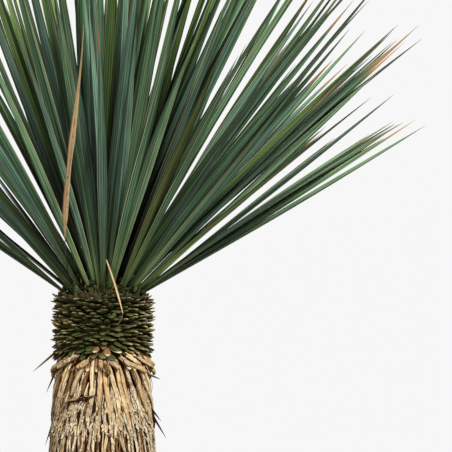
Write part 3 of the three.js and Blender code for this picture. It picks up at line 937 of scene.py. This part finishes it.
# Scales: their room at the collar's foot and top, their shapes by the way up the collar and along a scale, and
# the painted shadow of the crown that darkens the top rows
SCALE_SEED = 11
SCALE_STATIONS = np.array([0, 0.3, 0.55, 0.75, 0.9, 1.0])
SCALE_LOWEST = 0.004
SCALE_HIGHEST = 0.001
SCALE_SUNK = 0.001
SCALE_TILT = ([0, 0.07, 0.2, 0.45, 0.8, 1], [-60, -38, -18, -4, 2, 6])
SCALE_LENGTH = ([0, 0.07, 0.2, 0.8, 1], [0.020, 0.020, 0.0185, 0.019, 0.0205])
SCALE_FAN = ([0, 0.3, 0.6], [0.7, 0.35, 0])
SCALE_CROWN_SHADOW = ([0.6, 0.9], [1, 0.8])
SCALE_WIDTH = (0.0044, 0.0074)
SCALE_DEPTH = (0.0015, 0.0023)
SCALE_WIDTHS = np.array([1, 1, 0.96, 0.84, 0.62, 0.3])
SCALE_DEPTHS = np.array([1, 1, 0.95, 0.85, 0.65, 0.35])
GREEN_SHARES = ([MOSS, DARK, RUST, FRESH], [0.40, 0.30, 0.18, 0.12])
RUST_ABOVE = 0.75
RUST_SHARE = 0.2

# The lowest row hangs as dry knuckles, the next rows dry out on the right, and both sides get pale-ended scales
# as painted rim light
KNUCKLE_DROP = 0.009
KNUCKLE_NARROWER = 0.25
KNUCKLE_DEEPER = 0.9
KNUCKLE_SHARE = 0.85
DRY_ROWS = 3
DRY_AZIMUTH = math.radians(330)
DRY_REACH = 0.2
DRY_SHARE = 0.7
PAINTED_RIM_LIGHT_SIDES = ([0.4, 0.85], [0.02, 0.9])

# Stubs and chips heaped up round the feet of the leaves, higher and further out in front
MOUND_STUBS = 300
MOUND_CHIPS = 160
MOUND_BACK = 0.008
MOUND_FRONT = 0.026
MOUND_RADIUS = 0.058
MOUND_INWARD = 0.010
MOUND_FORWARD = 0.008
STUB_LENGTH, CHIP_LENGTH = (0.006, 0.011), (0.003, 0.006)
STUB_WIDTH, CHIP_WIDTH = (0.0022, 0.0042), (0.0008, 0.0016)
MOUND_WIDTHS = np.array([0.8, 1, 0.94, 0.76, 0.46, 0.1])


def scales(settings, pick):
    """The scales of the collar row by row, with their finishes and shades; painted crown shadow darkens the top
    rows.
    """
    rows, per_row = settings.scale_rows, settings.scales_per_row
    count = rows * per_row
    row = np.repeat(np.arange(rows), per_row)
    rise = row / (rows - 1)
    step = 2 * math.pi / per_row
    azimuth = np.tile(np.arange(per_row), rows) + 0.5 * (row % 2)
    azimuth = azimuth * step + pick.normal(0, 0.12, count) * step
    height = COLLAR_FOOT + SCALE_LOWEST + (TRUNK_HEIGHT - SCALE_HIGHEST - COLLAR_FOOT - SCALE_LOWEST) * rise
    height = height + pick.normal(0, 0.0011, count) - np.where(row == 0, KNUCKLE_DROP, 0)
    tilt = np.radians(np.interp(rise, *SCALE_TILT) + pick.normal(0, 4, count))
    run = (np.interp(rise, *SCALE_LENGTH) * pick.uniform(0.84, 1.12, count))[:, None] * SCALE_STATIONS
    bend = tilt[:, None] + np.radians(pick.normal(4, 6, count))[:, None] * SCALE_STATIONS
    fan = np.sin(azimuth - FRONT) * np.interp(rise, *SCALE_FAN)
    way = compass(azimuth + fan + pick.normal(0, 0.12, count))
    root = at(compass(azimuth), trunk_radius(height) - SCALE_SUNK, height)
    width = pick.uniform(*SCALE_WIDTH, count)[:, None] * SCALE_WIDTHS
    depth = pick.uniform(*SCALE_DEPTH, count)[:, None] * SCALE_DEPTHS
    knuckle = np.where(row == 0, 1, 0)[:, None]
    width, depth = width * (1 - KNUCKLE_NARROWER * knuckle), depth * (1 + KNUCKLE_DEEPER * knuckle)
    greens, shares = GREEN_SHARES
    slots = pick.choice(greens, count, p=shares)
    slots = np.where((rise > RUST_ABOVE) & (pick.random(count) < RUST_SHARE), RUST, slots)
    # Painted rim light: pale-ended scales, more of them towards both sides
    weathered = np.interp(np.abs(np.cos(azimuth)), *PAINTED_RIM_LIGHT_SIDES)
    slots = np.where(pick.random(count) < weathered, PAINTED_RIM_LIGHT, slots)
    dry = np.where(np.cos(azimuth - DRY_AZIMUTH) > DRY_REACH, DRY_SHARE, 0)
    dry = np.where(row == 0, KNUCKLE_SHARE, dry / row.clip(1))
    slots = np.where((row < DRY_ROWS) & (pick.random(count) < dry), DRY, slots)
    # Painted shadow of the crown: the top rows darker
    shade = pick.uniform(0.75, 1.12, count) * np.interp(rise, *SCALE_CROWN_SHADOW)
    return Blades(*stubs(root, way, run, bend), width, depth), slots, shade


def mound(pick):
    """Short dark stubs and chips that heap up round the feet of the leaves."""
    count = MOUND_STUBS + MOUND_CHIPS
    chip = np.arange(count) >= MOUND_STUBS
    azimuth = pick.uniform(0, 2 * math.pi, count)
    inward = pick.random(count)
    front = np.maximum(0, np.cos(azimuth - FRONT))
    height = TRUNK_HEIGHT + (MOUND_BACK + MOUND_FRONT * front) * inward + np.where(chip, 0.002, -0.001)
    root = at(compass(azimuth), MOUND_RADIUS - MOUND_INWARD * inward + MOUND_FORWARD * front, height)
    tilt = np.radians(pick.uniform(10, 70, count))
    way = azimuth + np.where(chip, pick.uniform(-1.6, 1.6, count), pick.normal(0, 0.25, count))
    run = np.where(chip, pick.uniform(*CHIP_LENGTH, count), pick.uniform(*STUB_LENGTH, count))
    paths = stubs(root, compass(way), run[:, None] * SCALE_STATIONS, tilt[:, None])
    width = np.where(chip, pick.uniform(*CHIP_WIDTH, count), pick.uniform(*STUB_WIDTH, count))
    width = width[:, None] * MOUND_WIDTHS
    of_chips = pick.choice([RUST, DRY], count, p=[0.7, 0.3])
    slots = np.where(chip, of_chips, pick.choice([MOSS, DARK, RUST], count, p=[0.3, 0.5, 0.2]))
    return Blades(*paths, width, 0.4 * width), slots, pick.uniform(0.4, 0.9, count)


class YUCCA_OT_collar(bpy.types.Operator):
    """Set the green leaf bases round the top of the trunk"""

    bl_idname = "yucca.collar"
    bl_label = "Green Leaf Bases"

    def execute(self, context):
        settings = context.scene.yucca.trunk
        pick = np.random.default_rng(SCALE_SEED)
        blades, slots, shade = zip(scales(settings, pick), mound(pick))
        finishes = [
            scale_finish(f"scale_{name}", getattr(settings, body), getattr(settings, end))
            for name, body, end in SCALE_FINISHES
        ]
        pieces_round(
            "green_leaf_scales", together(blades), -1, SCALE_SECTION, 4,
            np.concatenate(slots), np.concatenate(shade), finishes, "green_husk", "green_leaf_bases",
        )
        return {"FINISHED"}


# Husks of dry leaf bases

# Finishes, by number: the settings for the body and for its dark, a share of that dark and how cracked it is
CREAM, STRAW, TAN, UMBER = range(4)
HUSK_FINISHES = [
    ("cream", "tan", 1, 0.3), ("straw", "tan", 1, 0.35), ("tan", "umber", 1, 0.5),
    ("umber", "umber", 0.4, 0.3), ("grey", "shadow", 1, 0.75),
]

# Layers of straps: fingers in the top tier, strips in the next and ropes in the rest. Each has its straps,
# their widths, how round and how far off the trunk they are, the lift of their ends, their start over the
# tier, their lengths in tiers, their wave and their shares of the finishes
Layer = namedtuple(
    "Layer", "straps narrow wide round stand lift_low lift_high start shortest longest wave shares"
)
PALE_SHARES = (0.26, 0.04, 0.04, 0, 0.66)
THREAD_SHARES = (0.22, 0.08, 0.15, 0.2, 0.35)
# The first layer of each list is a wide backing, mostly umber and tan, that fills the gaps between the straps:
# partly older husk, partly painted shade
FINGER_LAYERS = [
    Layer(40, 0.0052, 0.0062, 0.45, 0.0015, 0, 0.001, 0, 1.3, 1.5, 0.006, (0, 0, 0.1, 0.9, 0)),
    Layer(44, 0.0026, 0.0036, 0.95, 0.0045, 0.003, 0.008, -0.010, 1.3, 1.95, 0.015, (0.3, 0.48, 0.16, 0, 0.06)),
    Layer(34, 0.0028, 0.0038, 0.95, 0.0055, 0.008, 0.013, -0.009, 0.25, 0.42, 0.01, (0.36, 0.44, 0.2, 0, 0)),
    Layer(50, 0.0006, 0.0012, 0.8, 0.0055, 0.002, 0.008, 0, 0.5, 1.2, 0.03, (0.3, 0.3, 0.25, 0.15, 0)),
]
STRIP_LAYERS = [
    Layer(44, 0.0050, 0.0060, 0.45, 0.0035, 0, 0.001, 0, 1.25, 1.5, 0.006, (0, 0.1, 0.45, 0.3, 0.15)),
    Layer(112, 0.0014, 0.0026, 0.7, 0.0060, 0.0005, 0.003, 0.004, 0.9, 1.4, 0.024, (0.14, 0.1, 0.1, 0.02, 0.64)),
    Layer(60, 0.0014, 0.0024, 0.8, 0.0070, 0.0005, 0.003, -0.02, 0.16, 0.5, 0.014, PALE_SHARES),
    Layer(56, 0.0006, 0.0012, 0.8, 0.0072, 0.001, 0.004, 0, 0.4, 1.2, 0.022, THREAD_SHARES),
]
ROPE_LAYERS = [
    Layer(44, 0.0050, 0.0060, 0.45, 0.0030, 0, 0.001, 0, 1.25, 1.5, 0.006, (0, 0, 0.25, 0.7, 0.05)),
    Layer(80, 0.0014, 0.0024, 0.9, 0.0065, 0.001, 0.004, 0.006, 1.0, 1.4, 0.024, (0.14, 0.04, 0.1, 0.02, 0.7)),
    Layer(90, 0.0014, 0.0024, 0.8, 0.0075, 0.0005, 0.003, 0.004, 0.2, 0.5, 0.014, PALE_SHARES),
    Layer(56, 0.0006, 0.0012, 0.8, 0.0078, 0.001, 0.004, 0, 0.4, 1.2, 0.022, THREAD_SHARES),
]
HUSK_SEED = 23
STRAP_STATIONS = 10
STRAP_SHARE = np.linspace(0, 1, STRAP_STATIONS)[None]
STRAP_OUTLINE = ([0, 0.1, 0.25, 0.75, 0.92, 1], [0.3, 0.75, 1, 0.95, 0.75, 0.35])
STRAP_TUCK = 0.005
STRAP_TOP_SPREAD = (0.003, 0.006)
STRAP_FOOT_SPREAD = 0.006
STRAP_ROUGHNESS = 0.0006
HUSK_FOOT_ROOM = 0.02

# Straps fan out from the front, less so down the trunk, and the fingers end in a ledge left of the front
STRAP_FAN = 0.6
STRAP_FAN_FADE = 0.5
LEDGE_AZIMUTH = math.radians(248)
LEDGE_WIDTH = math.radians(28)
LEDGE_CUT = 0.36
LEDGE_HEIGHT = 0.334
LEDGE_RISE = 0.013
LEDGE_REACH = math.radians(21)
LEDGE_STAND = 0.0115
LEDGE_THICKNESS = 0.0010
LEDGE_SLOTS = [UMBER] * 5 + [CREAM] * 2 + [STRAW]

# Dry spines that stand out from the husks: height over the soil, azimuth, tilt, length
SPINES = [
    (0.404, 192, -40, 0.046), (0.390, 186, -66, 0.046), (0.368, -10, -20, 0.018), (0.326, -6, -58, 0.047),
    (0.330, -9, -50, 0.028), (0.329, 176, -71, 0.055), (0.210, 62, -58, 0.046), (0.330, 108, -40, 0.044),
    (0.150, 250, -64, 0.040),
]
SPINE_ROOT = 0.008
SPINE_WIDTH = 0.0029
PALE_SPINES_ABOVE = 0.35


def straps(pick, layer, tier, pitch):
    """One layer of straps in one tier, hung from under the tier above it."""
    count = layer.straps
    azimuth = (np.arange(count) + pick.normal(0, 0.22, count) + pick.random()) * (2 * math.pi / count)
    top = COLLAR_FOOT + STRAP_TUCK - pitch * tier + layer.start
    top = top + pick.normal(0, STRAP_TOP_SPREAD[min(tier, 1)], count)
    reach = pick.uniform(layer.shortest, layer.longest, count)
    if tier == 0:
        off = (azimuth - LEDGE_AZIMUTH + math.pi) % (2 * math.pi) - math.pi
        reach = reach * (1 - LEDGE_CUT * np.exp(-((off / LEDGE_WIDTH) ** 2)))
    lowest = HUSK_FOOT - STRAP_FOOT_SPREAD + pick.uniform(0, 2 * STRAP_FOOT_SPREAD, count)
    foot = np.maximum(top - pitch * reach, lowest)
    height = top[:, None] + (foot - top)[:, None] * STRAP_SHARE
    fan = STRAP_FAN * STRAP_FAN_FADE**tier * np.sin(azimuth - FRONT)
    start, waves = pick.uniform(0, 6.3, count)[:, None], pick.uniform(3, 8, count)[:, None]
    slant = (fan + pick.normal(0, 0.04, count))[:, None]
    around = azimuth[:, None] + slant * (STRAP_SHARE - 0.4) + layer.wave * np.sin(start + waves * STRAP_SHARE)
    lift = pick.uniform(layer.lift_low, layer.lift_high, count)[:, None]
    stand = layer.stand + lift * STRAP_SHARE**1.4 - 0.3 * lift * np.maximum(0, STRAP_SHARE - 0.85) / 0.15
    stand = stand + pick.normal(0, STRAP_ROUGHNESS, (count, STRAP_STATIONS))
    level = compass(around)
    centre = at(level, trunk_radius(np.maximum(height, 0)) + stand, height)
    width = pick.uniform(layer.narrow, layer.wide, count)[:, None] * np.interp(STRAP_SHARE, *STRAP_OUTLINE)
    width = width * pick.uniform(0.8, 1.2, (count, STRAP_STATIONS))
    slots = pick.choice(len(layer.shares), count, p=layer.shares)
    return Blades(*framed(centre, level), width, layer.round * width), slots


def spines():
    """Dry spines that stand out from the husks."""
    height, azimuth, tilt, long = (np.array(values, float) for values in zip(*SPINES))
    level = compass(np.radians(azimuth))
    run = (long[:, None] + SPINE_ROOT) * STRAP_SHARE
    paths = stubs(at(level, trunk_radius(height), height), level, run, np.radians(tilt)[:, None])
    width = SPINE_WIDTH * (1.05 - STRAP_SHARE**2) * np.ones((len(SPINES), 1))
    return Blades(*paths, width, 0.8 * width), np.where(height > PALE_SPINES_ABOVE, TAN, UMBER)


def ledge(pick):
    """The broken lip that the fingers end in, left of the front."""
    count = len(LEDGE_SLOTS)
    first = -LEDGE_REACH * pick.uniform(0.3, 1.1, count)[:, None]
    last = LEDGE_REACH * pick.uniform(0.3, 1.1, count)[:, None]
    off = first + (last - first) * STRAP_SHARE
    height = LEDGE_HEIGHT + LEDGE_RISE * off + pick.normal(0, 0.0011, (count, 1))
    height = height + pick.normal(0, 0.0007, (count, STRAP_STATIONS))
    level = compass(LEDGE_AZIMUTH + off)
    centre = at(level, trunk_radius(height) + LEDGE_STAND + pick.uniform(0, 0.0015, (count, 1)), height)
    swell = np.sin(np.pi * (0.08 + 0.84 * STRAP_SHARE))
    width = LEDGE_THICKNESS * swell * pick.uniform(0.6, 1.3, (count, STRAP_STATIONS))
    return Blades(*framed(centre, level), width, 0.9 * width), np.array(LEDGE_SLOTS)


class YUCCA_OT_husks(bpy.types.Operator):
    """Hang the dry leaf bases down the trunk, with the spines and the broken ledge among them"""

    bl_idname = "yucca.husks"
    bl_label = "Dry Leaf Bases"

    def execute(self, context):
        settings = context.scene.yucca.trunk
        pick = np.random.default_rng(HUSK_SEED)
        pitch = (COLLAR_FOOT - HUSK_FOOT - HUSK_FOOT_ROOM) / settings.strap_tiers
        groups = [
            straps(pick, layer, tier, pitch)
            for tier in range(settings.strap_tiers)
            for layer in (FINGER_LAYERS, STRIP_LAYERS, ROPE_LAYERS)[min(tier, 2)]
        ]
        blades, slots = zip(*groups, spines(), ledge(pick))
        slots = np.concatenate(slots)
        shade = pick.uniform(0.75, 1.15, len(slots))
        finishes = []
        for body, dark, share, cracked in HUSK_FINISHES:
            tones = getattr(settings, body), times(getattr(settings, dark), share)
            finishes.append(husk_finish(f"husk_{body}", *tones, cracked))
        pieces_round(
            "dry_leaf_straps", together(blades), 0, STRAP_SECTION, 6,
            slots, shade, finishes, "dry_husk", "dry_leaf_bases",
        )
        return {"FINISHED"}


# Pot and soil

# Drain holes through the base of the pot, as in the source, with more sides
DRAIN_COUNT = 4
DRAIN_RADIUS = 0.009
DRAIN_CIRCLE_RADIUS = 0.078
DRAIN_SIDES = 24
POT_SIDES = 96
POT_CREASE = 35

# Soil and what lies on it: crumbs of earth, grit and chips of bark
SOIL_SIDES = 120
SOIL_RINGS = 26
SOIL_INNER_RING = 0.05
SOIL_DEPTH = 0.03
SOIL_EDGE = 0.006
SOIL_LUMPS = 60
SOIL_FRACTAL = (0.8, 2.0, 4)
SOIL_RELIEF = 0.0035
SOIL_SINK = 0.002
CRUMB_SEED = 5
CRUMB_GAP = 0.004
CRUMB_SINK = 0.001
CRUMB_SHARES = [0.6, 0.22, 0.18]
CRUMB_SIZES = (0.0012, 0.0036)
BARK_CHIP = 2
CHIP_SHAPE = (1.8, 1.3, 0.6)


def cut_drains(context, piece, depth):
    """Cuts the drain holes through the base."""
    bm = bmesh.new()
    for n in range(DRAIN_COUNT):
        around = (n + 0.5) * 2 * math.pi / DRAIN_COUNT
        place = Matrix.Translation(DRAIN_CIRCLE_RADIUS * Vector((math.cos(around), math.sin(around), 0)))
        bmesh.ops.create_cone(
            bm, cap_ends=True, segments=DRAIN_SIDES, radius1=DRAIN_RADIUS, radius2=DRAIN_RADIUS, depth=depth,
            matrix=place,
        )
    mesh = mesh_from("drains", bm)
    cutter = piece_from("drains", mesh, [])
    cut = piece.modifiers.new("drains", "BOOLEAN")
    cut.object = cutter
    whole = piece.data
    piece.data = bpy.data.meshes.new_from_object(piece.evaluated_get(context.evaluated_depsgraph_get()))
    piece.modifiers.remove(cut)
    bpy.data.objects.remove(cutter)
    for used in (mesh, whole):
        bpy.data.meshes.remove(used)


def crumbs_mesh(count, reach):
    """Crumbs of soil, grit and chips of bark, strewn over the soil between the trunk and the pot."""
    bm = bmesh.new()
    bmesh.ops.create_icosphere(bm, subdivisions=1, radius=1)
    bm.verts.ensure_lookup_table()
    bm.verts.index_update()
    ball = np.array([vert.co for vert in bm.verts])
    sides = np.array([[vert.index for vert in face.verts] for face in bm.faces])
    bm.free()
    pick = np.random.default_rng(CRUMB_SEED)
    inside = float(trunk_radius(0.0)) + CRUMB_GAP
    radius = np.sqrt(pick.uniform(inside**2, (reach - SOIL_EDGE) ** 2, count))
    place = at(compass(pick.uniform(0, 2 * math.pi, count)), radius, -CRUMB_SINK)
    kind = pick.choice(len(CRUMB_SHARES), count, p=CRUMB_SHARES)
    size = pick.uniform(*CRUMB_SIZES, count)[:, None] * pick.uniform(0.7, 1.3, (count, 3))
    size[kind == BARK_CHIP] *= CHIP_SHAPE
    turn = pick.uniform(0, 2 * math.pi, count)[:, None]
    x, y, z = np.moveaxis(ball * size[:, None] * pick.uniform(0.8, 1.2, (count, len(ball), 1)), -1, 0)
    lumps = [x * np.cos(turn) - y * np.sin(turn), x * np.sin(turn) + y * np.cos(turn), z]
    points = (np.stack(lumps, axis=-1) + place[:, None]).reshape(-1, 3)
    faces = (sides[None] + (np.arange(count) * len(ball))[:, None, None]).reshape(-1, 3)
    mesh = bpy.data.meshes.new("soil_crumbs")
    mesh.from_pydata(points.tolist(), [], faces.tolist())
    mesh.polygons.foreach_set("material_index", np.repeat(kind, len(sides)).astype(np.int32))
    mesh.update()
    return mesh


class YUCCA_OT_pot(bpy.types.Operator):
    """Throw the clay pot"""

    bl_idname = "yucca.pot"
    bl_label = "Pot"

    def execute(self, context):
        settings = context.scene.yucca.pot
        rim, foot, edge, base = settings.rim_radius, settings.foot_radius, settings.edge, settings.base
        band_foot = POT_HEIGHT - settings.band
        body_top = rim - settings.step - edge

        def bore(height):
            return foot + (body_top - foot) * height / band_foot - settings.wall

        profile = [
            (0, 0), (foot - edge, 0), (foot, edge), (body_top, band_foot), (rim - edge, band_foot),
            (rim, band_foot + edge), (rim + edge, POT_HEIGHT - edge), (rim, POT_HEIGHT),
            (bore(POT_HEIGHT) + edge, POT_HEIGHT), (bore(POT_HEIGHT - edge), POT_HEIGHT - edge),
            (bore(base), base), (0, base),
        ]
        bm = bmesh.new()
        turned(bm, profile, POT_SIDES)
        piece = piece_from("clay_pot", mesh_from("clay_pot", bm), [clay_finish("fired_clay", settings)])
        cut_drains(context, piece, 3 * base)
        smooth(piece.data, POT_CREASE)
        settle(piece, "clay", "pot")
        return {"FINISHED"}


class YUCCA_OT_soil(bpy.types.Operator):
    """Fill the pot with soil and scatter crumbs on it"""

    bl_idname = "yucca.soil"
    bl_label = "Soil"

    def execute(self, context):
        settings = context.scene.yucca.pot
        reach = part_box("soil")[1][0]
        under = SOIL_LEVEL - SOIL_DEPTH
        rings = np.linspace(SOIL_INNER_RING, reach, SOIL_RINGS)[::-1]
        profile = [(0, under), (reach - SOIL_EDGE, under)]
        profile += [(float(radius), SOIL_LEVEL) for radius in rings] + [(0, SOIL_LEVEL)]
        bm = bmesh.new()
        turned(bm, profile, SOIL_SIDES)
        for vert in bm.verts:
            if vert.co.z > SOIL_LEVEL - 0.001 and vert.co.xy.length < reach - 0.002:
                vert.co.z += SOIL_RELIEF * noise.fractal(vert.co * SOIL_LUMPS, *SOIL_FRACTAL) - SOIL_SINK
        mesh = mesh_from("potting_soil", bm)
        smooth(mesh, SOFT_CREASE)
        finishes = [
            earth_finish("damp_earth", settings.earth, settings.grit),
            earth_finish("stone_grit", settings.grit, settings.earth),
            earth_finish("bark_chips", settings.bark, settings.earth),
        ]
        settle(piece_from("potting_soil", mesh, finishes[:1]), "soil", "soil")
        settle(piece_from("soil_crumbs", crumbs_mesh(settings.crumbs, reach), finishes), "soil", "soil")
        return {"FINISHED"}


# Stage

FLOOR_RADIUS = 6
FLOOR_SIDES = 96
SENSOR_WIDTH = 36
LIGHT_AIM = Vector((0, 0, 0.85))
KEY_PLACE = (1.05, -2.1, 2.1)

# Area lights: name, the setting for its power, size and place
LAMPS = [
    ("fill", "fill", 2.2, (-2.4, -1.8, 1.3)), ("low", "low", 0.6, (-1.3, -2.1, 0.35)),
    ("left_rim", "rim", 1.6, (-2.4, 1.2, 0.9)), ("right_rim", "rim", 1.6, (2.4, 1.2, 0.9)),
]


def aimed(scene, name, data, place, aim):
    """Stands a light or a camera at a place and turns it to what it is aimed at."""
    made = bpy.data.objects.new(name, data)
    made.location = place
    made.rotation_euler = (aim - Vector(place)).to_track_quat("-Z", "Y").to_euler()
    scene.collection.objects.link(made)
    return made


class YUCCA_OT_stage(bpy.types.Operator):
    """Set up the floor, the lights and the camera"""

    bl_idname = "yucca.stage"
    bl_label = "Stage"

    def execute(self, context):
        scene = context.scene
        settings = scene.yucca.stage
        bm = bmesh.new()
        bmesh.ops.create_circle(bm, cap_ends=True, segments=FLOOR_SIDES, radius=FLOOR_RADIUS)
        paint = Finish("pale_floor", 0.7, 0.2)
        paint.put(settings.floor, paint.sockets["Base Color"])
        floor = piece_from("floor", mesh_from("floor", bm), [paint.material])
        floor.visible_diffuse = False

        world = bpy.data.worlds.new("studio")
        world.use_nodes = True
        sky = Nodes(world.node_tree)
        in_sight = sky.add("ShaderNodeLightPath").outputs["Is Camera Ray"]
        background = sky.tree.nodes["Background"].inputs
        sky.put((1, 1, 1), background["Color"])
        sky.put(sky.graded(in_sight, 0, 1, settings.ambient, settings.backdrop), background["Strength"])
        scene.world = world

        key = bpy.data.lights.new("key", "SUN")
        key.energy = settings.key
        key.angle = settings.key_angle
        aimed(scene, "key", key, KEY_PLACE, LIGHT_AIM)
        for name, strength, size, place in LAMPS:
            lamp = bpy.data.lights.new(name, "AREA")
            lamp.energy = getattr(settings, strength)
            lamp.size = size
            aimed(scene, name, lamp, place, LIGHT_AIM)

        lens = bpy.data.cameras.new("camera")
        eye, centre = photo_view(settings)
        lens.sensor_width = SENSOR_WIDTH
        lens.lens = SENSOR_WIDTH * (centre - eye).length / (PHOTO_SIZE * METRES_PER_PIXEL)
        scene.camera = aimed(scene, "camera", lens, eye, centre)
        scene.view_settings.view_transform = "Standard"
        return {"FINISHED"}


class YUCCA_PT_panel(bpy.types.Panel):
    """Lists the pieces of the plant"""

    bl_idname = "YUCCA_PT_panel"
    bl_label = "Potted Beaked Yucca"
    bl_space_type = "VIEW_3D"
    bl_region_type = "UI"
    bl_category = "Yucca"

    def draw(self, context):
        for operator in OPERATORS:
            self.layout.operator(operator.bl_idname)


OPERATORS = (
    YUCCA_OT_stage, YUCCA_OT_pot, YUCCA_OT_soil, YUCCA_OT_trunk,
    YUCCA_OT_husks, YUCCA_OT_collar, YUCCA_OT_leaves, YUCCA_OT_dead_leaves,
)
SETTINGS = (LeafSettings, TrunkSettings, PotSettings, StageSettings, YuccaSettings)
CLASSES = SETTINGS + OPERATORS + (YUCCA_PT_panel,)


def register():
    for item in CLASSES:
        bpy.utils.register_class(item)
    bpy.types.Scene.yucca = PointerProperty(type=YuccaSettings, name="Yucca", description="The potted yucca")


def unregister():
    del bpy.types.Scene.yucca
    for item in reversed(CLASSES):
        bpy.utils.unregister_class(item)


def main():
    register()
    bpy.ops.yucca.stage()
    bpy.ops.yucca.pot()
    bpy.ops.yucca.soil()
    bpy.ops.yucca.trunk()
    bpy.ops.yucca.husks()
    bpy.ops.yucca.collar()
    bpy.ops.yucca.leaves()
    bpy.ops.yucca.dead_leaves()


if __name__ == "__main__":
    main()
